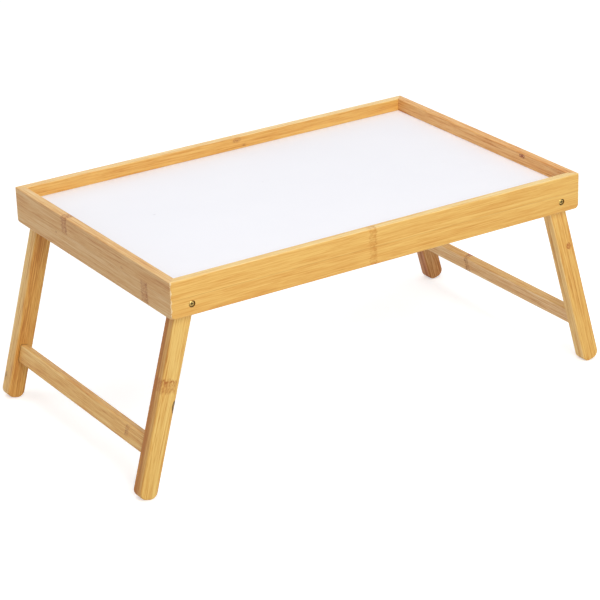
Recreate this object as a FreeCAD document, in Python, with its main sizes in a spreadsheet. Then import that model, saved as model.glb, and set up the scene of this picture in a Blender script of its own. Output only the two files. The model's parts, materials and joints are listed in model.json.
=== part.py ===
"""A folding bed tray table of bamboo, with a white laminated board in a mitred frame.

Row frame, in millimetres: +X along the tray, +Y from its front rail to its back rail, +Z up.
The origin is on the floor, below the middle of the tray. The legs stand open on their stops.
"""
import FreeCAD, Part
import os

import Sketcher
from FreeCAD import Placement, Rotation, Vector

# Driving dimensions, in millimetres and degrees.
SIZES = {
    # tray frame
    "tray_length": 500,
    "tray_width": 330,
    "tray_height": 230,
    "rail_height": 39.5,
    "rail_thickness": 10,
    "rim_edge_radius": 1.5,
    "under_edge_radius": 1.5,
    "corner_edge_radius": 2,
    "under_corner_radius": 4.5,
    # laminated board, lying in a groove below the rim
    "rim_depth": 14,
    "board_thickness": 3,
    "groove_depth": 4.5,
    "groove_height_gap": 0.2,
    "groove_end_gap": 0.2,
    # legs and their pivots
    "leg_width": 20,
    "leg_depth": 16,
    "leg_foot_radius": 8,
    "leg_head_radius": 8.5,
    "leg_edge_radius": 2,
    "leg_head_reach": 9.25,
    "splay_angle": 15.3,
    "pivot_rise": 12,
    "stop_gap": 0.2,
    # stretchers, housed in the legs
    "stretcher_height": 20,
    "stretcher_thickness": 10,
    "stretcher_edge_radius": 2.5,
    "stretcher_drop": 157.5,
    "housing_depth": 5,
    "housing_end_gap": 0.2,
    "housing_side_gap": 0.1,
    # sleeve nut that a leg turns on, and its washer
    "sleeve_diameter": 6,
    "sleeve_running_gap": 0.08,
    "sleeve_head_diameter": 11,
    "sleeve_head_thickness": 1.6,
    "sleeve_head_dome": 0.7,
    "sleeve_end_wall": 1.5,
    "washer_diameter": 13,
    "washer_thickness": 0.8,
    "side_play": 0.1,
    # pivot screw, sunk in the rail
    "screw_diameter": 4,
    "screw_bore_gap": 0.15,
    "screw_thread_gap": 0.05,
    "screw_end_gap": 1.5,
    "screw_head_diameter": 6,
    "screw_head_height": 1.9,
    "screw_head_dome": 1.1,
    "screw_sink_diameter": 7.2,
    "screw_sink_depth": 2.6,
    "recess_span": 3.4,
    "recess_width": 0.9,
    "recess_depth": 0.9,
    # V nail, pressed into each mitre from below
    "nail_apex_inset": 6,
    "nail_wing": 4,
    "nail_half_angle": 35,
    "nail_gauge": 0.5,
    "nail_rise": 8,
    "nail_sink": 0.5,
}

doc = FreeCAD.newDocument("bed_tray_table")
sheet = doc.addObject("Spreadsheet::Sheet", "sizes")
for row, (alias, size) in enumerate(SIZES.items(), start=1):
    sheet.set(f"A{row}", alias)
    sheet.set(f"B{row}", str(size))
    sheet.setAlias(f"B{row}", alias)
doc.recompute()

# Levels above the rails' lower edge.
BOARD_TOP = "(sizes.rail_height - sizes.rim_depth)"
BOARD_UNDERSIDE = f"({BOARD_TOP} - sizes.board_thickness)"

# Levels above the floor.
RAIL_LEVEL = "(sizes.tray_height - sizes.rail_height)"
PIVOT_LEVEL = f"({RAIL_LEVEL} + sizes.pivot_rise)"

# The open leg's outer face stops just short of the eased lower edge of the end rail.
STOP_REACH = (
    "((sizes.leg_width / 2 + sizes.stop_gap"
    " + sizes.under_edge_radius * (1 - cos(sizes.splay_angle) - sin(sizes.splay_angle))"
    " + sizes.pivot_rise * sin(sizes.splay_angle)) / cos(sizes.splay_angle))"
)
PIVOT_X = f"(sizes.tray_length / 2 - sizes.rail_thickness - {STOP_REACH})"

# A splayed leg stands on the rounding of its inner foot corner, which just meets the floor.
LEG_DROP = (
    f"(({PIVOT_LEVEL} - sizes.leg_foot_radius"
    " - (sizes.leg_width / 2 - sizes.leg_foot_radius) * sin(sizes.splay_angle))"
    " / cos(sizes.splay_angle) + sizes.leg_foot_radius)"
)

# Depths inward from a long rail's outer face.
LEG_OUTER = "(sizes.rail_thickness + sizes.washer_thickness + sizes.side_play)"
LEG_INNER = f"({LEG_OUTER} + sizes.leg_depth)"
SLEEVE_SEAT = f"({LEG_INNER} + sizes.side_play)"
SLEEVE_END = f"({SLEEVE_SEAT} + sizes.sleeve_head_thickness)"
SLEEVE_BORE_END = f"({SLEEVE_END} - sizes.sleeve_end_wall)"
SCREW_TOP = "(sizes.screw_sink_depth - sizes.screw_head_height)"

SLEEVE_WAY = "(sizes.sleeve_diameter / 2 + sizes.sleeve_running_gap)"


def value(formula):
    """The present size of a formula on the sheet."""
    return float(sheet.evalExpression(formula))


def new_body(label):
    body = doc.addObject("PartDesign::Body", label)
    body.Label = label
    return body


def origin_plane(body, role):
    return next(plane for plane in body.Origin.OriginFeatures if plane.Role == role)


def new_sketch(body, name, role, shift=None, turn=0):
    """A sketch on one of the body's own planes, turned in it upright and shifted by formulas."""
    sketch = body.newObject("Sketcher::SketchObject", name)
    sketch.AttachmentSupport = [(origin_plane(body, role), "")]
    sketch.MapMode = "FlatFace"
    sketch.AttachmentOffset = Placement(Vector(), Rotation(Vector(0, 1, 0), turn))
    for axis, formula in (shift or {}).items():
        sketch.setExpression(f"AttachmentOffset.Base.{axis}", formula)
    return sketch


def bind(sketch, formula, *constraint):
    """Adds a constraint whose size follows a formula."""
    index = sketch.addConstraint(Sketcher.Constraint(*constraint, value(formula)))
    sketch.setExpression(f"Constraints[{index}]", formula)


def draw_path(sketch, corners):
    """Draws straight sides from corner to corner, and returns the first and the last of them."""
    points = [Vector(value(x), value(y), 0) for x, y in corners]
    sides = [
        sketch.addGeometry(Part.LineSegment(start, end), False)
        for start, end in zip(points, points[1:])
    ]
    for side, (x, y) in zip(sides, corners):
        bind(sketch, x, "DistanceX", -1, 1, side, 1)
        bind(sketch, y, "DistanceY", -1, 1, side, 1)
    for before, after in zip(sides, sides[1:]):
        sketch.addConstraint(Sketcher.Constraint("Coincident", before, 2, after, 1))
    return sides[0], sides[-1]


def draw_outline(sketch, corners):
    """Draws a closed outline with straight sides."""
    first, last = draw_path(sketch, corners + corners[:1])
    sketch.addConstraint(Sketcher.Constraint("Coincident", last, 2, first, 1))


def draw_block(sketch, width, height, x="0", y="0"):
    """Draws a rectangle round a middle point."""
    left, right = f"({x} - {width} / 2)", f"({x} + {width} / 2)"
    low, high = f"({y} - {height} / 2)", f"({y} + {height} / 2)"
    draw_outline(sketch, [(left, low), (right, low), (right, high), (left, high)])


def draw_circle(sketch, radius):
    circle = sketch.addGeometry(Part.Circle(Vector(), Vector(0, 0, 1), value(radius)), False)
    sketch.addConstraint(Sketcher.Constraint("Coincident", circle, 3, -1, 1))
    bind(sketch, radius, "Radius", circle)


def draw_rounding(sketch, radius, x):
    """Draws what is sanded off a corner at (x, 0) to leave a radius, with the wood above right."""
    far = f"({x} + {radius})"
    out = f"({x} - {radius})"
    path = [(far, "0"), (far, f"-{radius}"), (out, f"-{radius}"), (out, radius), (x, radius)]
    first, last = draw_path(sketch, path)
    bind(sketch, x, "DistanceX", -1, 1, last, 2)
    bind(sketch, radius, "DistanceY", -1, 1, last, 2)
    size = value(radius)
    middle = Vector(value(far), size, 0)
    round_edge = Part.ArcOfCircle(Part.Circle(middle, Vector(0, 0, 1), size), 3.1416, 4.7124)
    arc = sketch.addGeometry(round_edge, False)
    sketch.addConstraint(Sketcher.Constraint("Coincident", arc, 1, last, 2))
    sketch.addConstraint(Sketcher.Constraint("Coincident", arc, 2, first, 1))
    bind(sketch, radius, "Radius", arc)


def extrude(body, kind, sketch, length, reverse=False, both_ways=False):
    """Pads a sketch, or pockets it out of the body."""
    feature = body.newObject(f"PartDesign::{kind}", sketch.Name.replace("outline", kind.lower()))
    feature.Profile = sketch
    feature.setExpression("Length", length)
    feature.Reversed = reverse
    feature.SideType = "Symmetric" if both_ways else "One side"
    return feature


def revolve(body, sketch):
    """Turns a sketch about the pivot's axis, which is the sketch's upright axis."""
    feature = body.newObject("PartDesign::Revolution", sketch.Name.replace("outline", "turning"))
    feature.Profile = sketch
    feature.ReferenceAxis = (sketch, ["V_Axis"])
    feature.Angle = 360
    return feature


def edges_at(feature, **levels):
    """Names of the edges that lie wholly at the given levels of X, Y or Z."""
    doc.recompute()
    names = []
    for number, edge in enumerate(feature.Shape.Edges, start=1):
        box = edge.BoundBox
        limits = [
            abs(getattr(box, axis + end) - value(level))
            for axis, level in levels.items()
            for end in ("Min", "Max")
        ]
        if max(limits) < 0.01:
            names.append(f"Edge{number}")
    return names


def fillet(body, feature, edges, radius):
    """Rounds a feature's edges off."""
    rounding = body.newObject("PartDesign::Fillet", f"{body.Name}_fillet")
    rounding.Base = (feature, edges)
    rounding.setExpression("Radius", radius)
    return rounding


def mirror(body, features):
    """Repeats what one end has at the other end."""
    mirrored = body.newObject("PartDesign::Mirrored", f"{body.Name}_mirrored")
    mirrored.Originals = features
    mirrored.MirrorPlane = (origin_plane(body, "YZ_Plane"), [""])
    body.Tip = mirrored


def place(body, x="0", y="0", z="0", turn=0, tilt="0"):
    """Sets a body in the row frame: turned about Z, then tilted about Y, then moved."""
    tilted = Rotation(Vector(0, 1, 0), value(tilt))
    body.Placement = Placement(Vector(), tilted * Rotation(Vector(0, 0, 1), turn))
    for axis, formula in (("x", x), ("y", y), ("z", z)):
        body.setExpression(f"Placement.Base.{axis}", formula)


def nail_corner(run, side):
    """A corner of a nail's wing, from its run past the apex and the side of the wing it is on."""
    heading = "(225 + sizes.nail_half_angle)"
    half_gauge = f"{side} * sizes.nail_gauge / 2"
    x = f"(sizes.nail_apex_inset + {run} * cos{heading} - {half_gauge} * sin{heading})"
    y = f"(sizes.nail_apex_inset + {run} * sin{heading} + {half_gauge} * cos{heading})"
    return x, y


# Plan of the nail's wing in one rail, from the outer corner of the frame. Its broad end is on the
# mitre, where the wing in the other rail meets it.
APEX_RUN = "(sizes.nail_gauge / 2 / tan(sizes.nail_half_angle))"
NAIL_PLAN = [
    nail_corner(f"-1 * {APEX_RUN}", "1"),
    nail_corner("sizes.nail_wing", "1"),
    nail_corner("sizes.nail_wing", "-1"),
    nail_corner(APEX_RUN, "-1"),
]


def make_rail(label, length, y_inward, x="0", y="0"):
    """A mitred rail. Its own X runs along it, and its own Y from its outer face inward."""
    body = new_body(label)
    half = f"({length} / 2)"
    short_half = f"({half} - sizes.rail_thickness)"

    plan = new_sketch(body, f"{label}_outline", "XY_Plane")
    corners = [(f"-{half}", "0"), (half, "0")]
    corners += [(short_half, "sizes.rail_thickness"), (f"-{short_half}", "sizes.rail_thickness")]
    draw_outline(plan, corners)
    blank = extrude(body, "Pad", plan, "sizes.rail_height")

    edges = edges_at(blank, Y="0", Z="sizes.rail_height")
    edges += edges_at(blank, Y="sizes.rail_thickness", Z="sizes.rail_height")
    rim = fillet(body, blank, edges, "sizes.rim_edge_radius")
    edges = edges_at(rim, Y="0", Z="0") + edges_at(rim, Y="sizes.rail_thickness", Z="0")
    fillet(body, rim, edges, "sizes.under_edge_radius")

    groove = new_sketch(body, f"{label}_groove_outline", "YZ_Plane")
    floor, ceiling = BOARD_UNDERSIDE, f"({BOARD_TOP} + sizes.groove_height_gap)"
    inner, outer = "sizes.rail_thickness", "(sizes.rail_thickness - sizes.groove_depth)"
    draw_outline(groove, [(inner, floor), (inner, ceiling), (outer, ceiling), (outer, floor)])
    extrude(body, "Pocket", groove, length, both_ways=True)

    arris = new_sketch(body, f"{label}_arris_outline", "XY_Plane", {"x": f"-{half}"})
    draw_rounding(arris, "sizes.corner_edge_radius", "0")
    ends = [extrude(body, "Pocket", arris, "2 * sizes.rail_height", both_ways=True)]

    # The lower corner is sanded round across the diagonal, after the rails are joined.
    lower = new_sketch(body, f"{label}_lower_outline", "XZ_Plane", {"x": f"-{half}"}, turn=45)
    draw_rounding(lower, "sizes.under_corner_radius", "(sizes.corner_edge_radius * (sqrt(2) - 1))")
    ends.append(extrude(body, "Pocket", lower, "2 * sizes.rail_thickness", both_ways=True))

    nail = new_sketch(body, f"{label}_nail_outline", "XY_Plane", {"x": f"-{half}"})
    draw_outline(nail, NAIL_PLAN)
    ends.append(extrude(body, "Pocket", nail, "sizes.nail_sink + sizes.nail_rise", reverse=True))

    if label in ("front_rail", "back_rail"):
        ends += bore_for_screw(body, label)
    mirror(body, ends)
    place(body, x, y, RAIL_LEVEL, turn=y_inward - 90)
    return body


def bore_for_screw(body, label):
    """A stepped hole at the pivot, wide outside for the screw's head."""
    radii = {
        "sink": ("sizes.screw_sink_diameter / 2", "sizes.screw_sink_depth"),
        "bore": ("(sizes.screw_diameter / 2 + sizes.screw_bore_gap)", "sizes.rail_thickness"),
    }
    cuts = []
    for name, (radius, depth) in radii.items():
        middle = {"x": f"-{PIVOT_X}", "y": "sizes.pivot_rise"}
        hole = new_sketch(body, f"{label}_{name}_outline", "XZ_Plane", middle)
        draw_circle(hole, radius)
        cuts.append(extrude(body, "Pocket", hole, depth))
    return cuts


def make_board():
    """The laminated board. It lies on the floor of the rails' groove."""
    body = new_body("tray_panel")
    hidden = "(sizes.rail_thickness - sizes.groove_depth + sizes.groove_end_gap)"
    plan = new_sketch(body, "tray_panel_outline", "XY_Plane")
    draw_block(plan, f"(sizes.tray_length - 2 * {hidden})", f"(sizes.tray_width - 2 * {hidden})")
    extrude(body, "Pad", plan, "sizes.board_thickness")
    place(body, z=f"({RAIL_LEVEL} + {BOARD_UNDERSIDE})")
    return body


def make_nail(label, x, y, turn):
    body = new_body(label)
    plan = new_sketch(body, f"{label}_outline", "XY_Plane")
    other_wing = [(along, across) for across, along in reversed(NAIL_PLAN[1:3])]
    draw_outline(plan, NAIL_PLAN + other_wing)
    extrude(body, "Pad", plan, "sizes.nail_rise")
    place(body, x, y, f"({RAIL_LEVEL} + sizes.nail_sink)", turn=turn)
    return body


def make_leg(label, x, y, turn, tilt):
    """A leg upright below its pivot. Its own Y runs from its outer face inward."""
    body = new_body(label)
    half, foot = "(sizes.leg_width / 2)", f"(-1 * {LEG_DROP})"
    face = new_sketch(body, f"{label}_outline", "XZ_Plane")
    head = "sizes.leg_head_reach"
    draw_outline(face, [(f"-{half}", foot), (half, foot), (half, head), (f"-{half}", head)])
    blank = extrude(body, "Pad", face, "sizes.leg_depth", reverse=True)

    # The head is rounded more than the foot, so that it turns below the board.
    rounded = blank
    for end, radius in ((foot, "sizes.leg_foot_radius"), (head, "sizes.leg_head_radius")):
        corners = edges_at(rounded, X=half, Z=end) + edges_at(rounded, X=f"-{half}", Z=end)
        rounded = fillet(body, rounded, corners, radius)
    edges = edges_at(rounded, Y="0") + edges_at(rounded, Y="sizes.leg_depth")
    fillet(body, rounded, edges, "sizes.leg_edge_radius")

    bore = new_sketch(body, f"{label}_bore_outline", "XZ_Plane")
    draw_circle(bore, SLEEVE_WAY)
    extrude(body, "Pocket", bore, "sizes.leg_depth")

    shift = {"y": "-sizes.stretcher_drop", "z": "-sizes.leg_depth"}
    housing = new_sketch(body, f"{label}_housing_outline", "XZ_Plane", shift)
    width = "(sizes.stretcher_thickness + 2 * sizes.housing_side_gap)"
    height = "(sizes.stretcher_height + 2 * sizes.housing_side_gap)"
    draw_block(housing, width, height)
    hollow = extrude(body, "Pocket", housing, "sizes.housing_depth", reverse=True)
    corners = [
        name
        for side in ("", "-")
        for end in ("+", "-")
        for name in edges_at(
            hollow, X=f"{side}{width} / 2", Z=f"-sizes.stretcher_drop {end} {height} / 2"
        )
    ]
    fillet(body, hollow, corners, "sizes.stretcher_edge_radius + sizes.housing_side_gap")
    place(body, x, y, PIVOT_LEVEL, turn, tilt)
    return body


def make_stretcher(label, x, tilt):
    """A stretcher in its leg frame's own pose, with the frame's pivot axis on its own Y."""
    body = new_body(label)
    end = new_sketch(body, f"{label}_outline", "XZ_Plane", {"y": "-sizes.stretcher_drop"})
    draw_block(end, "sizes.stretcher_thickness", "sizes.stretcher_height")
    reach = f"(sizes.tray_width - 2 * {LEG_INNER} + 2 * (sizes.housing_depth - sizes.housing_end_gap))"
    blank = extrude(body, "Pad", end, reach, both_ways=True)
    edges = [
        name
        for side in ("", "-")
        for level in ("+", "-")
        for name in edges_at(
            blank,
            X=f"{side}sizes.stretcher_thickness / 2",
            Z=f"-sizes.stretcher_drop {level} sizes.stretcher_height / 2",
        )
    ]
    fillet(body, blank, edges, "sizes.stretcher_edge_radius")
    place(body, x, z=PIVOT_LEVEL, tilt=tilt)
    return body


def cut_cross(body, label, level, reverse):
    """The driver's cross, cut into a head whose face is at a level along the pivot's axis."""
    arms = {
        "arm": ("sizes.recess_span", "sizes.recess_width"),
        "cross_arm": ("sizes.recess_width", "sizes.recess_span"),
    }
    for name, (width, height) in arms.items():
        sketch = new_sketch(body, f"{label}_{name}_outline", "XZ_Plane", {"z": f"-{level}"})
        draw_block(sketch, width, height)
        extrude(body, "Pocket", sketch, "sizes.recess_depth", reverse=reverse)


def make_screw(label, x, y, turn):
    """A pivot screw on its own Y axis, from the rail's outer face inward."""
    body = new_body(label)
    profile = new_sketch(body, f"{label}_outline", "XY_Plane")
    head, shank = "(sizes.screw_head_diameter / 2)", "(sizes.screw_diameter / 2)"
    seat, tip = "sizes.screw_sink_depth", f"({SLEEVE_BORE_END} - sizes.screw_end_gap)"
    corners = [("0", SCREW_TOP), (head, SCREW_TOP), (head, seat), (shank, seat)]
    draw_outline(profile, corners + [(shank, tip), ("0", tip)])
    blank = revolve(body, profile)
    fillet(body, blank, edges_at(blank, Y=SCREW_TOP), "sizes.screw_head_dome")
    cut_cross(body, label, SCREW_TOP, reverse=False)
    place(body, x, y, PIVOT_LEVEL, turn)
    return body


def make_sleeve_nut(label, x, y, turn):
    """The nut whose barrel the leg turns on. It bears on the rail's inner face."""
    body = new_body(label)
    profile = new_sketch(body, f"{label}_outline", "XY_Plane")
    bore = "(sizes.screw_diameter / 2 + sizes.screw_thread_gap)"
    barrel, head = "(sizes.sleeve_diameter / 2)", "(sizes.sleeve_head_diameter / 2)"
    corners = [(bore, "sizes.rail_thickness"), (barrel, "sizes.rail_thickness")]
    corners += [(barrel, SLEEVE_SEAT), (head, SLEEVE_SEAT), (head, SLEEVE_END)]
    corners += [("0", SLEEVE_END), ("0", SLEEVE_BORE_END), (bore, SLEEVE_BORE_END)]
    draw_outline(profile, corners)
    blank = revolve(body, profile)
    fillet(body, blank, edges_at(blank, Y=SLEEVE_END), "sizes.sleeve_head_dome")
    cut_cross(body, label, SLEEVE_END, reverse=True)
    place(body, x, y, PIVOT_LEVEL, turn)
    return body


def make_washer(label, x, y, turn):
    """The washer between rail and leg, on the sleeve nut's barrel."""
    body = new_body(label)
    profile = new_sketch(body, f"{label}_outline", "XY_Plane")
    near, far = "sizes.rail_thickness", "(sizes.rail_thickness + sizes.washer_thickness)"
    rim = "(sizes.washer_diameter / 2)"
    draw_outline(profile, [(SLEEVE_WAY, near), (rim, near), (rim, far), (SLEEVE_WAY, far)])
    revolve(body, profile)
    place(body, x, y, PIVOT_LEVEL, turn)
    return body


HALF_LENGTH = "(sizes.tray_length / 2)"
HALF_WIDTH = "(sizes.tray_width / 2)"

bodies = [
    make_rail("front_rail", "sizes.tray_length", 90, y=f"-{HALF_WIDTH}"),
    make_rail("back_rail", "sizes.tray_length", 270, y=HALF_WIDTH),
    make_rail("left_rail", "sizes.tray_width", 0, x=f"-{HALF_LENGTH}"),
    make_rail("right_rail", "sizes.tray_width", 180, x=HALF_LENGTH),
    make_board(),
]
bodies += [
    make_nail("front_left_corner_nail", f"-{HALF_LENGTH}", f"-{HALF_WIDTH}", 0),
    make_nail("front_right_corner_nail", HALF_LENGTH, f"-{HALF_WIDTH}", 90),
    make_nail("back_right_corner_nail", HALF_LENGTH, HALF_WIDTH, 180),
    make_nail("back_left_corner_nail", f"-{HALF_LENGTH}", HALF_WIDTH, 270),
]

# The four pivots: which side of the row frame they are on, and how each inward depth turns.
ROWS = {"front": (f"-{HALF_WIDTH}", f"({LEG_OUTER} - {HALF_WIDTH})", 0),
        "back": (HALF_WIDTH, f"({HALF_WIDTH} - {LEG_OUTER})", 180)}
ENDS = {"left": (f"-{PIVOT_X}", "sizes.splay_angle"), "right": (PIVOT_X, "-sizes.splay_angle")}
for end, (x, tilt) in ENDS.items():
    for row, (rail_face, leg_face, turn) in ROWS.items():
        bodies += [
            make_leg(f"{row}_{end}_leg", x, leg_face, turn, tilt),
            make_screw(f"{row}_{end}_pivot_screw", x, rail_face, turn),
            make_sleeve_nut(f"{row}_{end}_sleeve_nut", x, rail_face, turn),
            make_washer(f"{row}_{end}_spacer_washer", x, rail_face, turn),
        ]
    bodies.append(make_stretcher(f"{end}_stretcher", x, tilt))

doc.recompute()
for item in doc.Objects:
    if "Invalid" in item.State or "Error" in item.State:
        raise RuntimeError(f"{item.Name} failed: {item.State}")
    if item.TypeId == "PartDesign::Pocket" and item.Shape.Volume > item.BaseFeature.Shape.Volume - 0.1:
        raise RuntimeError(f"{item.Name} cuts nothing")

os.makedirs("parts", exist_ok=True)
for body in bodies:
    if body.Shape.isNull() or not body.Shape.isValid() or len(body.Shape.Solids) != 1:
        raise RuntimeError(f"{body.Label} isn't one valid solid")
    body.Shape.exportStep(f"parts/{body.Label}.step")
    print(f"{body.Label}: {body.Shape.Volume:.0f} cubic mm")
box = Part.Compound([body.Shape for body in bodies]).BoundBox
print(f"overall {box.XLength:.2f} x {box.YLength:.2f} x {box.ZLength:.2f}, from Z {box.ZMin:.3f}")
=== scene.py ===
# %% [markdown]
# # A folding bamboo bed tray
#
# This lesson dresses a bed tray: a shallow bamboo frame round a white board, on legs that fold in
# underneath. The woodwork comes from the workshop drawing as finished solids, so most of what is
# left to learn here is how to make the materials look like what they are.
#
# Everything is in metres. X runs along the tray, Y from front to back and Z up from the floor.

# %% Load the frame
import json
import math

import bpy
from mathutils import Matrix, Vector


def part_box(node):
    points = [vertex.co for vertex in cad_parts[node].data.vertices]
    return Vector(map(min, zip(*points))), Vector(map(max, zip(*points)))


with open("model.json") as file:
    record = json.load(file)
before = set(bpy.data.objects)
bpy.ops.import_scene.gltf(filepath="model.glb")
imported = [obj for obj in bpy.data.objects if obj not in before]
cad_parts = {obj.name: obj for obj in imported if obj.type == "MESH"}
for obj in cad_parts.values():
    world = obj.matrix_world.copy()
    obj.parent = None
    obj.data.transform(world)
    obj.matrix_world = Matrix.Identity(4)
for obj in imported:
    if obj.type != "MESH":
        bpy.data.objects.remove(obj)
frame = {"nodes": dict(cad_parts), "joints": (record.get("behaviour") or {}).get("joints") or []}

nodes = frame["nodes"]
joints = {joint["name"]: joint for joint in frame["joints"]}
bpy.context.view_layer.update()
print("pieces in the frame:", len(nodes))

# %% [markdown]
# ## Some small helpers
#
# A colour is easiest to read off a real thing as an sRGB hex value, but Blender's shaders count
# light in linear steps, so one function turns the one into the other.
#
# A material is a chain of nodes. Instead of writing three lines for each node, `add` makes a node,
# sets its options, fills its sockets with numbers or links, and hands back the output to go on from.

# %% Colours and nodes
# a Mix node that blends colours takes them on its sockets 6 and 7 and gives the blend on output 2
BLEND = {"out": 2, "data_type": "RGBA"}


def linear(code):
    """A colour such as "E5B565" as linear red, green, blue and alpha."""
    channels = [int(code[i:i + 2], 16) / 255 for i in (0, 2, 4)]
    return tuple(c / 12.92 if c <= 0.04045 else ((c + 0.055) / 1.055) ** 2.4 for c in channels) + (1,)


def add(tree, kind, sockets=None, out=0, stops=(), **options):
    """Adds one node and returns one of its outputs, or the node itself where it has none.

    Sockets get a number or a link, and a colour ramp gets stops of (position, colour).
    """
    node = tree.nodes.new("ShaderNode" + kind)
    for option, setting in options.items():
        setattr(node, option, setting)
    for socket, source in (sockets or {}).items():
        if isinstance(source, bpy.types.NodeSocket):
            tree.links.new(source, node.inputs[socket])
        else:
            node.inputs[socket].default_value = source
    if stops:
        # a new colour ramp has a stop at either end
        on_ramp = node.color_ramp.elements
        on_ramp.remove(on_ramp[1])
        for number, (position, colour) in enumerate(stops):
            stop = on_ramp.new(position) if number else on_ramp[0]
            stop.position, stop.color = position, colour
    return node.outputs[out] if node.outputs else node


def new_material(name):
    """An empty material and its node tree."""
    material = bpy.data.materials.new(name)
    material.use_nodes = True
    material.node_tree.nodes.clear()
    return material, material.node_tree


def dress(node_name, material):
    """Gives a solid of the frame its finish."""
    slots = nodes[node_name].data.materials
    slots.clear()
    slots.append(material)
    for face in nodes[node_name].data.polygons:
        face.material_index = 0


print("honey in linear light:", [round(c, 3) for c in linear("E5B565")])

# %% [markdown]
# ## Bamboo
#
# Bamboo isn't wood but the wall of a giant grass. Mills split the cane into strips, plane them and
# glue them side by side, so a rail or a leg shows:
#
# - fine straight fibres along the strip, each bundle under a millimetre wide
# - broader, paler and darker streaks, a few millimetres wide
# - a nodal band every few hand-breadths, where the cane had its joint: a thin brown scar with
#   mottled fibres on one side
# - dots on the cut ends, where the bundles are seen end-on
# - two strips glued together, each with a tone of its own and its bands in other places
#
# A picture of bamboo wrapped round each piece would break at the edges. A pattern computed in three
# dimensions doesn't: long thin noise reads as fibres on the faces and as dots on the ends, all by
# itself. It only has to run along each piece, so the first step is a Mapping node that takes the
# object's coordinates and turns them into the piece's own: along, across and through it.

# %% Coordinates of one piece
MM = 0.001


def piece_space(tree, place, turn, order):
    """Coordinates along, across and through a piece that lies at a place with a turn."""
    where = add(tree, "TexCoord", out="Object")
    own = {"Vector": where, "Location": place, "Rotation": turn}
    own = add(tree, "Mapping", own, vector_type="TEXTURE")
    parts = add(tree, "SeparateXYZ", {0: own}).node.outputs
    return add(tree, "CombineXYZ", {i: parts["XYZ".index(axis)] for i, axis in enumerate(order)})


def stretched_noise(tree, space, along, across, detail, seed):
    """Noise whose blobs are so many millimetres long and wide, drawn out along the piece."""
    grid = (1 / (along * MM), 1 / (across * MM), 1 / (across * MM))
    start = (seed, seed * 1.7, seed * 0.6)
    scaled = add(tree, "Mapping", {"Vector": space, "Location": start, "Scale": grid})
    return add(tree, "TexNoise", {"Vector": scaled, "Scale": 1.0, "Detail": detail, "Roughness": 0.55})


print("a millimetre in the scene:", MM)

# %% [markdown]
# A nodal band is a step across the piece. How dark it is depends only on how far along the piece a
# point is, so a grey ramp holds its profile: a clean edge, a mottled patch a few millimetres wide,
# then a thin dark scar where the cane had its joint. A little noise in the distance makes the scar
# ragged, because the fibres bend where they pass the joint.
#
# A knot is what is left of a bud: a dark spot in a paler oval with a rim. Its ramp runs from the
# middle outwards.

# %% Nodal bands and knots
RAGGED = 4  # mm that a mark's outline strays at most


def measured(tree, space, seed):
    """What the marks on a piece are placed by: how far a point is along, across and through it."""
    along, across, through = add(tree, "SeparateXYZ", {0: space}).node.outputs
    far = add(tree, "Math", {0: along}, operation="ABSOLUTE")
    wild = stretched_noise(tree, space, 7, 1.8, 2.0, seed + 5)
    ragged = add(tree, "MapRange", {"Value": wild, "To Min": -RAGGED * MM, "To Max": RAGGED * MM})
    return {"along": along, "across": across, "through": through, "far": far, "ragged": ragged,
            "space": space, "seed": seed}


def greys(steps):
    """Stops of a grey ramp that turns a distance from 0 to 1 into how dark a mark is there."""
    return [(position, (dark, dark, dark, 1)) for position, dark in steps]


BAND = greys([
    (0.0, 0.0), (0.12, 0.60), (0.45, 0.50), (0.70, 0.75), (0.83, 1.0), (0.92, 0.45), (1.0, 0.0)])
KNOT = greys([(0.0, 1.0), (0.30, 0.80), (0.50, 0.30), (0.72, 0.60), (0.86, 0.25), (1.0, 0.0)])


def nodal_band(tree, piece, at, middle, reach, width):
    """A band at so many mm along the piece, as far as it reaches either side of a line on it."""
    moved = add(tree, "Math", {0: piece["along"], 1: piece["ragged"]}, operation="ADD")
    start, end = (at - width / 2) * MM, (at + width / 2) * MM
    place = add(tree, "MapRange", {"Value": moved, "From Min": start, "From Max": end})
    dark = add(tree, "ValToRGB", {0: place}, stops=BAND)
    off = add(tree, "Math", {0: piece["across"], 1: middle * MM}, operation="SUBTRACT")
    off = add(tree, "Math", {0: off}, operation="ABSOLUTE")
    start, whole = (reach + 1.5) * MM, reach * MM
    inside = add(tree, "MapRange", {"Value": off, "From Min": start, "From Max": whole})
    return add(tree, "Math", {0: dark, 1: inside}, operation="MULTIPLY")


def knot(tree, piece, axis, at, middle, length, width):
    """An oval knot, so many mm along the piece and across or through it, of half a length and width."""
    moved = add(tree, "Math", {0: piece["ragged"], 1: 0.5, 2: piece["along"]}, operation="MULTIPLY_ADD")
    one = {0: moved, 1: 1 / (length * MM), 2: -at / length}
    one = add(tree, "Math", one, operation="MULTIPLY_ADD")
    two = {0: piece[axis], 1: 1 / (width * MM), 2: -middle / width}
    two = add(tree, "Math", two, operation="MULTIPLY_ADD")
    flat = add(tree, "CombineXYZ", {0: one, 1: two})
    away = add(tree, "VectorMath", {0: flat}, out="Value", operation="LENGTH")
    return add(tree, "ValToRGB", {0: away}, stops=KNOT)


print("steps in a band and in a knot:", len(BAND), len(KNOT))

# %% [markdown]
# The fibres come next. Every layer of noise pushes one number up or down, from 0 for the darkest
# fibre to 1 for the palest. Short dark dashes lie between them, where several bundles met in a
# cluster: cells drawn out along the piece, each dark in its middle.

# %% Fibres
STREAKS = (
    # length and width of a streak in mm, octaves of detail, how much it counts
    # a real bundle is 0.3 to 0.5 mm wide, which is too fine to show here, so the finest are 1 mm
    (34, 1.0, 3.0, 1.45),
    (170, 2.2, 2.0, 0.75),
    (400, 18, 1.0, 0.45),
)
CELL_LONG, CELL_WIDE = 14, 1.5
DASH_CORE, DASH_EDGE = 0.10, 0.34  # as parts of a cell, from its middle


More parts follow.
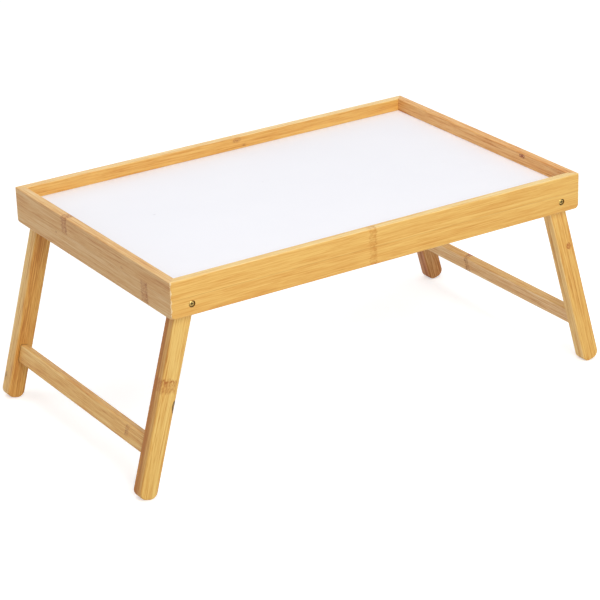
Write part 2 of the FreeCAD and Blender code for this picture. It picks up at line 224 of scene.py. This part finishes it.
def fibres(tree, space, seed, streaks):
    """How pale the fibre at a point is, from 0 to 1."""
    level = 0.5
    for number, (long, wide, detail, weight) in enumerate(STREAKS):
        noise = stretched_noise(tree, space, long, wide, detail, seed + 5 * number)
        centred = add(tree, "Math", {0: noise, 1: 0.5}, operation="SUBTRACT")
        level = add(tree, "Math", {0: centred, 1: weight * streaks, 2: level}, operation="MULTIPLY_ADD")
    grid = (1 / (CELL_LONG * MM), 1 / (CELL_WIDE * MM), 1 / (CELL_WIDE * MM))
    cells = add(tree, "Mapping", {"Vector": space, "Location": (seed, seed, seed), "Scale": grid})
    dash = add(tree, "TexVoronoi", {"Vector": cells, "Scale": 1.0}, out="Distance")
    dash = add(tree, "MapRange", {"Value": dash, "From Min": DASH_CORE, "From Max": DASH_EDGE,
                                  "To Min": 0.15 * streaks, "To Max": 0})
    return add(tree, "Math", {0: level, 1: dash}, operation="SUBTRACT")


dash_size = [round(2 * DASH_EDGE * side, 1) for side in (CELL_LONG, CELL_WIDE)]
print("a dark dash is up to", dash_size[0], "mm long and", dash_size[1], "mm wide")

# %% [markdown]
# One colour ramp turns that number into shades of the piece's own tone. This keeps the colours in one
# family however many layers there are.
#
# The faces that show the strips from the side have a tone of their own, which is painted light: paler
# where such a face catches more light and sheen, darker where it turns into shade. The shader tells the
# two kinds of face apart by the surface normal, turned into the piece's own axes.

# %% Shades of one tone
SHADES = {
    # how pale a fibre is: how much of the tone's red, green and blue it has
    0.10: (0.70, 0.48, 0.30),
    0.36: (0.93, 0.82, 0.68),
    0.64: (1.07, 1.15, 1.26),
    0.94: (1.17, 1.40, 1.88),
}
BRIGHTEST = 0.97  # where white is 1


def shaded(tree, level, tone, painted_light_tone, turn, order):
    """The tone in shades that follow the fibres, with another tone on the sides of the strips for
    painted light and shade.
    """
    stops = []
    for position, shade in SHADES.items():
        stops.append((position, [min(c * s, BRIGHTEST) for c, s in zip(linear(tone), shade)] + [1]))
    colour = add(tree, "ValToRGB", {0: level}, stops=stops)

    normal = add(tree, "TexCoord", out="Normal")
    normal = add(tree, "Mapping", {"Vector": normal, "Rotation": turn}, vector_type="TEXTURE")
    facing = add(tree, "SeparateXYZ", {0: normal}).node.outputs["XYZ".index(order[1])]
    facing = add(tree, "Math", {0: facing}, operation="ABSOLUTE")
    facing = add(tree, "MapRange", {"Value": facing, "From Min": 0.45, "From Max": 0.85})
    # the side faces' tone is painted light: paler or darker than the piece's tone for how light falls
    # there
    change = tuple(s / t for s, t in zip(linear(painted_light_tone)[:3], linear(tone)))
    side = add(tree, "VectorMath", {0: colour, 1: change}, operation="MULTIPLY")
    return add(tree, "Mix", {"Factor": facing, 6: colour, 7: side}, **BLEND)


print("shades of a tone:", len(SHADES))

# %% [markdown]
# Glue leaves a trace too, and some light and shade is painted into the colour as well. Each has a
# function that says how strongly it shows at a point:
#
# - the glue line of a seam, brown and about half a millimetre wide
# - a painted highlight: a pale, wavy line down the frame's mitred corners, where the eased edge catches
#   the light
# - the hairline round a stretcher's end, where it sinks into the leg: painted shadow of the housing,
#   and glue that has caught the dust
# - painted shade on the walls of a screw hole

# %% Glue line, painted light and painted shade
def glue_line(tree, piece, axis, at):
    """The seam between two strips, at so many mm across or through the piece."""
    off = add(tree, "Math", {0: piece[axis], 1: at * MM}, operation="SUBTRACT")
    off = add(tree, "Math", {0: off}, operation="ABSOLUTE")
    return add(tree, "MapRange", {"Value": off, "From Min": 0.1 * MM, "From Max": 0.4 * MM,
                                  "To Min": 0.3, "To Max": 0})


def painted_arris_highlight(tree, piece, end):
    """A painted highlight: the pale line at both ends of a rail, where the eased corner catches the
    light, so many mm from its middle.
    """
    wave = stretched_noise(tree, piece["space"], 2000, 5, 2.0, piece["seed"] + 15)
    reach = add(tree, "MapRange", {"Value": wave, "From Min": 0.3, "From Max": 0.7,
                                   "To Min": 0.2 * MM, "To Max": 2.2 * MM})
    edge = add(tree, "Math", {0: piece["far"], 1: reach}, operation="ADD")
    start, whole = end * MM, (end + 0.4) * MM
    return add(tree, "MapRange", {"Value": edge, "From Min": start, "From Max": whole, "To Max": 0.6})


def shadow_and_glue_gap(tree, piece, end):
    """The hairline at both ends of a stretcher, so many mm from its middle: painted shadow of the
    housing, and glue.
    """
    far, start, whole = piece["far"], (end - 1.1) * MM, (end - 0.5) * MM
    return add(tree, "MapRange", {"Value": far, "From Min": start, "From Max": whole, "To Max": 0.8})


def painted_hole_shade(tree, piece, along, across, radius):
    """Painted shade on the walls of a hole near each end of a rail, from just below the rail's face."""
    flat = add(tree, "CombineXYZ", {0: piece["far"], 1: piece["across"]})
    middle = (along * MM, across * MM, 0)
    away = add(tree, "VectorMath", {0: flat, 1: middle}, out="Value", operation="DISTANCE")
    start, whole = (radius + 0.3) * MM, (radius + 0.1) * MM
    hole = add(tree, "MapRange", {"Value": away, "From Min": start, "From Max": whole})
    deep = add(tree, "MapRange", {"Value": piece["through"], "From Min": 0.2 * MM, "From Max": 0.8 * MM,
                                  "To Max": 0.8})
    return add(tree, "Math", {0: hole, 1: deep}, operation="MULTIPLY")


# %% [markdown]
# The whole material puts these together. Two strips in one piece share nothing but the glue, so
# beyond the seam the pattern goes on from a place a metre away, a little paler or darker.
#
# The number behind the shades, slightly, drives the bump as well: fibres stand a few hundredths of a
# millimetre proud after sanding. The finish is a thin satin lacquer, so the surface is fairly rough
# and only glints at a low angle.

# %% The bamboo material
SWAY = 1  # mm that a fibre strays to either side on its way


def marked(tree, colour, piece, marks):
    """The colour with mottled marks on it: (kind, strength, colour, measurements)."""
    mottle = stretched_noise(tree, piece["space"], 3.2, 1.1, 2.0, piece["seed"] + 9)
    mottle = add(tree, "MapRange", {"Value": mottle, "From Min": 0.38, "From Max": 0.62,
                                    "To Min": 0.3, "To Max": 1.5})
    for kind, strength, code, measurements in marks:
        dark = kind(tree, piece, *measurements)
        dark = add(tree, "Math", {0: dark, 1: mottle}, operation="MULTIPLY")
        dark = add(tree, "Math", {0: dark, 1: strength}, operation="MULTIPLY", use_clamp=True)
        colour = add(tree, "Mix", {"Factor": dark, 6: colour, 7: linear(code)}, **BLEND)
    return colour


def bamboo(node_name, place, turn, order, seed, tone, painted_light_tone, streaks, marks, glue_and_painted_light=(), seam=None):
    """Dresses a piece in bamboo that runs along it.

    Glue and painted light come as (kind, colour, measurements). A seam is (axis, place in mm, how much
    paler beyond it).
    """
    material, tree = new_material(f"lacquered bamboo, {node_name.replace('_', ' ')}")
    space = piece_space(tree, place, turn, order)
    piece = measured(tree, space, seed)

    sway = stretched_noise(tree, space, 160, 22, 1.0, seed + 3)
    sway = add(tree, "MapRange", {"Value": sway, "To Min": -SWAY * MM, "To Max": SWAY * MM})
    sway = add(tree, "CombineXYZ", {1: sway, 2: sway})
    grain = add(tree, "VectorMath", {0: space, 1: sway}, operation="ADD")
    if seam:
        axis, at, paler = seam
        beyond = add(tree, "Math", {0: piece[axis], 1: at * MM}, operation="GREATER_THAN")
        step = add(tree, "CombineXYZ", {0: beyond})
        grain = add(tree, "VectorMath", {0: grain, 1: step}, operation="ADD")
        glue_and_painted_light = [(glue_line, "A06E35", (axis, at)), *glue_and_painted_light]
    level = fibres(tree, grain, seed, streaks)
    if seam:
        level = add(tree, "Math", {0: beyond, 1: paler, 2: level}, operation="MULTIPLY_ADD")

    colour = shaded(tree, level, tone, painted_light_tone, turn, order)
    colour = marked(tree, colour, piece, marks)
    for kind, code, measurements in glue_and_painted_light:
        overlay_amount = kind(tree, piece, *measurements)
        colour = add(tree, "Mix", {"Factor": overlay_amount, 6: colour, 7: linear(code)}, **BLEND)

    bump = add(tree, "Bump", {"Strength": 0.5, "Distance": 0.06 * MM, "Height": level})
    rough = add(tree, "MapRange", {"Value": level, "To Min": 0.56, "To Max": 0.42})
    finish = {"Base Color": colour, "Roughness": rough, "Normal": bump, "IOR": 1.5}
    add(tree, "OutputMaterial", {"Surface": add(tree, "BsdfPrincipled", finish)})
    dress(node_name, material)


# %% [markdown]
# ## Rails
#
# Each rail is cut from two strips, one above the other, 39.5 mm high together. The nodal bands are put
# where this tray has them: one right across the front rail, just left of its middle, and short ones
# in one strip of the end rails. No two canes have the same colour, so every rail has its own tone.
#
# The frame's outer corners are mitres, and their sharp edges were eased by hand on a sanding belt after
# the glue was dry. The light that each eased edge catches is painted as a pale, slightly wavy line down
# the corner. The long rails are also drilled and counterbored for the pivot screws, and the walls of
# the holes get painted shade.

# %% Dress the rails
GOLD, SIENNA, RUST, UMBER = "BC7418", "A4622C", "9A5428", "6E3A1C"
SINK_RADIUS = 3.6  # mm, of the counterbore for a screw head
UPPER_PALER = 0.04

rail_low, rail_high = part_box("front_rail")
rail_level, rail_height = rail_low.z, rail_high.z - rail_low.z
half_long, half_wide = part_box("right_rail")[1].x, -rail_low.y
pivot = Vector(joints["right_frame_fold"]["pos_m"])
hole = (pivot.x / MM, (pivot.z - rail_level) / MM, SINK_RADIUS)

RAILS = {
    # place, heading, seed, tone, tone of the side faces (painted light and shade), strength of the
    # streaks, marks
    "front_rail": ((0, -half_wide, rail_level), 0, 2.0, "DFAC56", "EBC680", 0.64, [
        (nodal_band, 0.55, GOLD, (-14.5, 20, 30, 10))]),
    "back_rail": ((0, half_wide, rail_level), 180, 5.3, "DDA652", "EFC988", 0.8, [
        (knot, 0.75, RUST, ("across", -20.6, 36, 6, 3.2)),
        (knot, 0.6, RUST, ("across", -30, 28.5, 3, 1.6))]),
    "left_rail": ((-half_long, 0, rail_level), -90, 9.1, "CFA166", "DFB272", 0.85, [
        (nodal_band, 0.85, SIENNA, (-54, 31, 9, 13)),
        (nodal_band, 0.8, SIENNA, (113, 13, 10, 15)),
        (knot, 0.8, RUST, ("across", -73, 17, 2.5, 1.2)),
        (knot, 0.5, RUST, ("across", 68, 24, 3, 1.4))]),
    "right_rail": ((half_long, 0, rail_level), 90, 13.7, "D49954", "DFA35B", 1.5, [
        (knot, 1.6, "8A3A14", ("across", -79, 36, 6, 2.8)),
        (nodal_band, 0.5, RUST, (60, 11, 9, 6))]),
}
for name, (place, heading, seed, tone, painted_light_tone, streaks, marks) in RAILS.items():
    is_long = name in ("front_rail", "back_rail")
    # a painted highlight down each mitred corner, where the eased edge catches the light
    glue_and_painted_light = [(painted_arris_highlight, "FBE6BC", ((half_long if is_long else half_wide) / MM,))]
    if is_long:
        # painted shade on the walls of each counterbored hole
        glue_and_painted_light.append((painted_hole_shade, "4C2E08", hole))
    seam = ("across", rail_height / 2 / MM, UPPER_PALER)
    turn = (0, 0, math.radians(heading))
    bamboo(name, place, turn, "XZY", seed, tone, painted_light_tone, streaks, marks, glue_and_painted_light, seam)
print("rails:", round(2 * half_long / MM), "mm long,", round(rail_height / MM, 1), "mm high")

# %% [markdown]
# ## Legs and stretchers
#
# A leg is glued from two layers, front and back, and its edge shows the seam between them. The legs
# are splayed, so each one's fibres have to be tilted as well. The tilt is the angle that a leg frame
# has to turn past the quarter circle to lie flat, and the hinge between tray and leg frame knows it.
#
# A stretcher's ends sit in shallow housings in the legs. Round them is a dark hairline: partly painted
# shadow of the housing, partly glue that has caught the dust.

# %% Dress the leg frames
OUTER_LAYER = 8.3  # mm
LEGS = {
    # seed, tone, tone of the side faces (painted light and shade), strength of the streaks,
    # how much paler the inner layer is, marks
    "front_left_leg": (89.2, "D8A854", "CA9446", 1.2, -0.42, [
        (nodal_band, 0.75, "A85C14", (-89, -3, 9, 16)),
        (knot, 2.2, "40230C", ("across", -110, 9.9, 8, 3.4))]),
    "back_left_leg": (101.9, "DEA854", "DDB36E", 1.1, -0.1, [
        (knot, 0.9, UMBER, ("through", -187, 4.5, 6, 2))]),
    "front_right_leg": (85.5, "E1AF59", "EEC176", 0.9, -0.08, [
        (knot, 1.4, "B05C14", ("across", -61, 3.2, 5.0, 3.2))]),
    "back_right_leg": (98.2, "CF9756", "C58654", 1.9, -0.2, [
        (nodal_band, 0.5, RUST, (-45, 0, 12, 7))]),
}
STRETCHERS = {
    # seed, tone, tone of the side faces (painted light and shade), strength of the streaks, marks
    "left_stretcher": (45.0, "DBAA60", "DDAA60", 1.0, [
        (nodal_band, 0.6, RUST, (-100, -155, 5, 7))]),
    "right_stretcher": (35.0, "EDC38A", "E2B068", 0.9, [
        (nodal_band, 0.7, RUST, (53, -158, 12, 8)),
        (knot, 1.3, "A63C18", ("through", 53, 4, 5, 3))]),
}
leg_outside, leg_inside = (corner.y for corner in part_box("front_left_leg"))
for side, direction in (("left", 1), ("right", -1)):
    hinge = joints[f"{side}_frame_fold"]
    splay = direction * math.radians(hinge["range_deg"][1] - 90)
    pivot = Vector(hinge["pos_m"])
    rows = {"front": (leg_outside, (0, splay, 0)), "back": (-leg_outside, (0, -splay, math.pi))}
    for row, (leg_face, turn) in rows.items():
        name = f"{row}_{side}_leg"
        seed, tone, painted_light_tone, streaks, paler, marks = LEGS[name]
        place = (pivot.x, leg_face, pivot.z)
        seam = ("through", OUTER_LAYER, paler)
        bamboo(name, place, turn, "ZXY", seed, tone, painted_light_tone, streaks, marks, seam=seam)

    name = f"{side}_stretcher"
    seed, tone, painted_light_tone, streaks, marks = STRETCHERS[name]
    place = (pivot.x, 0, pivot.z)
    # painted shadow of the housing, and glue, round the stretcher's ends
    glue_and_painted_light = [(shadow_and_glue_gap, "5E3A17", (-leg_inside / MM,))]
    bamboo(name, place, (0, splay, 0), "YZX", seed, tone, painted_light_tone, streaks, marks, glue_and_painted_light)
    print(side, "leg frame, splayed", round(math.degrees(abs(splay)), 1), "degrees")

# %% [markdown]
# ## The white board
#
# The board is thin fibreboard under a melamine face: a paper soaked in resin and pressed against a
# steel plate. It is a slightly cool white with a satin face, too matt to mirror the rails. Pressed
# melamine is never quite flat, so it gets a very shallow ripple a few millimetres wide, its gloss
# varies where it has been wiped, and a few faint smudges are left on it.

# %% Dress the board
RIPPLE, WIPE = 3, 70  # mm, the size of a ripple and of a wiped patch
SMUDGES = (
    # place along and across the board and radius, in mm
    (-154, 35, 3.2),
    (-12, 49, 2.4),
    (68, 63, 2.0),
)
board_low, board_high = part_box("tray_panel")
board, tree = new_material("white melamine on fibreboard")
where = add(tree, "TexCoord", out="Object")
ripple = add(tree, "TexNoise", {"Vector": where, "Scale": 1 / (RIPPLE * MM), "Detail": 2.0})
smear = {"Vector": where, "Scale": 1 / (WIPE * MM), "Detail": 4.0, "Roughness": 0.6}
smear = add(tree, "TexNoise", smear)
white = add(tree, "Mix", {"Factor": smear, 6: linear("F4F4FA"), 7: linear("F9F9FE")}, **BLEND)
for x, y, radius in SMUDGES:
    middle = (x * MM, y * MM, board_high.z)
    away = add(tree, "VectorMath", {0: where, 1: middle}, out="Value", operation="DISTANCE")
    away = add(tree, "Math", {0: ripple, 1: 2 * MM, 2: away}, operation="MULTIPLY_ADD")
    smudge = add(tree, "MapRange", {"Value": away, "From Min": 1 * MM, "From Max": radius * MM,
                                    "To Min": 0.35, "To Max": 0})
    white = add(tree, "Mix", {"Factor": smudge, 6: white, 7: linear("C9C8D2")}, **BLEND)
rough = add(tree, "MapRange", {"Value": smear, "From Min": 0.3, "From Max": 0.7,
                               "To Min": 0.50, "To Max": 0.62})
bump = add(tree, "Bump", {"Strength": 0.25, "Distance": 0.02 * MM, "Height": ripple})
finish = {"Base Color": white, "Roughness": rough, "Normal": bump, "IOR": 1.5}
add(tree, "OutputMaterial", {"Surface": add(tree, "BsdfPrincipled", finish)})
dress("tray_panel", board)
print("board:", [round(v / MM) for v in board_high - board_low], "mm")

# %% [markdown]
# ## Screws, nuts, washers and nails
#
# The pivot screws and their sleeve nuts are steel with a yellow zinc plate, which looks like pale
# brass. The driver's cross is a recess, and the shade in it is painted dark: the shader finds it by how
# near the pivot's axis and how far below the head's face a point is. The four pivots mirror one
# another, so it only looks at how far from the tray's middle a point is.
#
# The plate is a little cloudy, in patches about a millimetre wide, with scratches finer than that.
# The washers are moulded nylon, a milky white with a soft sheen. The V nails in the mitres are bright
# drawn steel, which is a clear grey.

# %% Dress the small parts
CROSS_RADIUS = 2.1  # mm, of a circle round the whole cross
SCRATCH = 0.25  # mm


def metal(name, pale, dark, grain, roughness, cross=None):
    """A metal whose tone and gloss change over so many mm, with painted shade in a cross at a place."""
    material, tree = new_material(name)
    where = add(tree, "TexCoord", out="Object")
    cloud = add(tree, "TexNoise", {"Vector": where, "Scale": 1 / (grain * MM), "Detail": 4.0})
    tone = add(tree, "Mix", {"Factor": cloud, 6: linear(dark), 7: linear(pale)}, **BLEND)
    rough = {"Value": cloud, "To Min": roughness - 0.08, "To Max": roughness + 0.1}
    rough = add(tree, "MapRange", rough)
    if cross is not None:
        mirrored = add(tree, "VectorMath", {0: where}, operation="ABSOLUTE")
        x, y, z = add(tree, "SeparateXYZ", {0: mirrored}).node.outputs
        flat = add(tree, "CombineXYZ", {0: x, 2: z})
        middle = (cross.x, 0, cross.z)
        away = add(tree, "VectorMath", {0: flat, 1: middle}, out="Value", operation="DISTANCE")
        near = add(tree, "MapRange", {"Value": away, "From Min": CROSS_RADIUS * MM,
                                      "From Max": (CROSS_RADIUS - 0.3) * MM})
        below = add(tree, "MapRange", {"Value": y, "From Min": cross.y - 0.05 * MM,
                                       "From Max": cross.y - 0.3 * MM})
        cross_shade = add(tree, "Math", {0: near, 1: below}, operation="MULTIPLY")
        # painted shade in the recess of the driver's cross
        tone = add(tree, "Mix", {"Factor": cross_shade, 6: tone, 7: linear("2E2408")}, **BLEND)
    scratches = add(tree, "TexNoise", {"Vector": where, "Scale": 1 / (SCRATCH * MM), "Detail": 3.0})
    bump = add(tree, "Bump", {"Strength": 0.4, "Distance": 0.01 * MM, "Height": scratches})
    finish = {"Base Color": tone, "Metallic": 1.0, "Roughness": rough, "Normal": bump}
    add(tree, "OutputMaterial", {"Surface": add(tree, "BsdfPrincipled", finish)})
    return material


pivot = Vector(joints["right_frame_fold"]["pos_m"])
cross = Vector((pivot.x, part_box("back_left_pivot_screw")[1].y, pivot.z))
zinc = metal("yellow zinc plate on steel", "F4DC92", "BE913C", 1.2, 0.28, cross)
nut_zinc = metal("yellow zinc plate on a pressed nut", "ECD38A", "B58A3C", 1.6, 0.32)
bright = metal("bright drawn steel", "C9C9CC", "98989C", 0.8, 0.35)

nylon, tree = new_material("natural nylon")
where = add(tree, "TexCoord", out="Object")
mould = add(tree, "TexNoise", {"Vector": where, "Scale": 1 / (0.6 * MM), "Detail": 3.0})
milky = add(tree, "Mix", {"Factor": mould, 6: linear("DEDACD"), 7: linear("EBE8DE")}, **BLEND)
bump = add(tree, "Bump", {"Strength": 0.3, "Distance": 0.02 * MM, "Height": mould})
finish = {"Base Color": milky, "Roughness": 0.5, "Normal": bump, "IOR": 1.53}
add(tree, "OutputMaterial", {"Surface": add(tree, "BsdfPrincipled", finish)})

FINISHES = {"pivot_screw": zinc, "sleeve_nut": nut_zinc, "spacer_washer": nylon, "corner_nail": bright}
for ending, finish in FINISHES.items():
    small = [name for name in nodes if name.endswith(ending)]
    for name in small:
        dress(name, finish)
    print(ending, len(small))

# %% [markdown]
# ## Camera
#
# The camera stands where the photographer stood. It looks along the tray from the front left, a good
# two and a half metres away, through a long lens, which keeps the tray's sides nearly parallel.

# %% Set the camera up
HEADING, DOWN, ROLL = -32.097, 23.237, -1.845
EYE = (-1.26309, -2.01335, 1.11185)
SENSOR = 36
FOCAL_LENGTH, PICTURE_WIDTH = 2388.5, 600  # both in pixels of the picture

camera = bpy.data.objects.new("camera", bpy.data.cameras.new("camera"))
bpy.context.scene.collection.objects.link(camera)
heading = Matrix.Rotation(math.radians(HEADING), 4, "Z")
tilt = Matrix.Rotation(math.radians(90 - DOWN), 4, "X")
roll = Matrix.Rotation(math.radians(ROLL), 4, "Z")
camera.matrix_world = Matrix.Translation(EYE) @ heading @ tilt @ roll
camera.data.sensor_width = SENSOR
camera.data.lens = SENSOR * FOCAL_LENGTH / PICTURE_WIDTH
bpy.context.scene.camera = camera
bpy.context.scene.view_settings.view_transform = "Standard"
print("lens:", round(camera.data.lens, 1), "mm")

# %% [markdown]
# ## Floor
#
# The floor is white paper. Only for the camera, it gets a little extra glow, which takes it up to
# pure white where it is lit and leaves the tray's shadow on it.

# %% The floor
FLOOR_SIZE, GLOW = 12, 0.46

bpy.ops.object.select_all(action="DESELECT")
bpy.ops.mesh.primitive_plane_add(size=FLOOR_SIZE, location=(0, 0, 0))
floor = bpy.context.active_object
floor.name = "paper_floor"
paper, tree = new_material("white paper")
glow = add(tree, "LightPath", out="Is Camera Ray")
glow = add(tree, "Math", {0: glow, 1: GLOW}, operation="MULTIPLY")
matt = add(tree, "BsdfDiffuse", {"Color": linear("F0F0F0")})
shine = add(tree, "Emission", {"Color": (1, 1, 1, 1), "Strength": glow})
add(tree, "OutputMaterial", {"Surface": add(tree, "AddShader", {0: matt, 1: shine})})
floor.data.materials.append(paper)
print("floor:", FLOOR_SIZE, "m square")

# %% [markdown]
# ## Light
#
# A product photo is lit softly from all round, with one large light that gives it form. Here a wide
# soft lamp stands in front, a little to the left of the tray's middle, and lights the long sides. One
# over the board lights all that faces up, and a weak one at the back left keeps the end that turns
# away from both in no more than a light shade. The world fills the rest. The camera sees it as pure
# white, and so do the reflections in the metal.

# %% The light
FILL = 0.42
AIM = Vector((0, 0, 0.2))  # near the middle of the tray
LAMPS = {
    # place, side of the square in metres, watts
    "main lamp": ((-0.35, -2.35, 1.7), 1.4, 41),
    "top lamp": ((0.2, 0.3, 2.6), 1.8, 18),
    "left lamp": ((-1.2, 1.0, 0.7), 0.8, 3.8),
}

world = bpy.data.worlds.new("studio")
bpy.context.scene.world = world
world.use_nodes = True
tree = world.node_tree
tree.nodes.clear()
path = add(tree, "LightPath").node.outputs
seen = add(tree, "Math", {0: path["Is Camera Ray"], 1: path["Is Glossy Ray"]}, operation="MAXIMUM")
seen = add(tree, "Math", {0: seen, 1: path["Is Transmission Ray"]}, operation="MAXIMUM")
strength = add(tree, "MapRange", {"Value": seen, "To Min": FILL, "To Max": 1.0})
sky = add(tree, "Background", {"Color": (1, 1, 1, 1), "Strength": strength})
add(tree, "OutputWorld", {"Surface": sky})

for name, (place, size, watts) in LAMPS.items():
    lamp = bpy.data.objects.new(name, bpy.data.lights.new(name, "AREA"))
    lamp.data.shape = "SQUARE"
    lamp.data.size = size
    lamp.data.energy = watts
    lamp.location = place
    lamp.rotation_euler = (AIM - Vector(place)).to_track_quat("-Z", "Y").to_euler()
    bpy.context.scene.collection.objects.link(lamp)
print("lamps:", len(LAMPS))
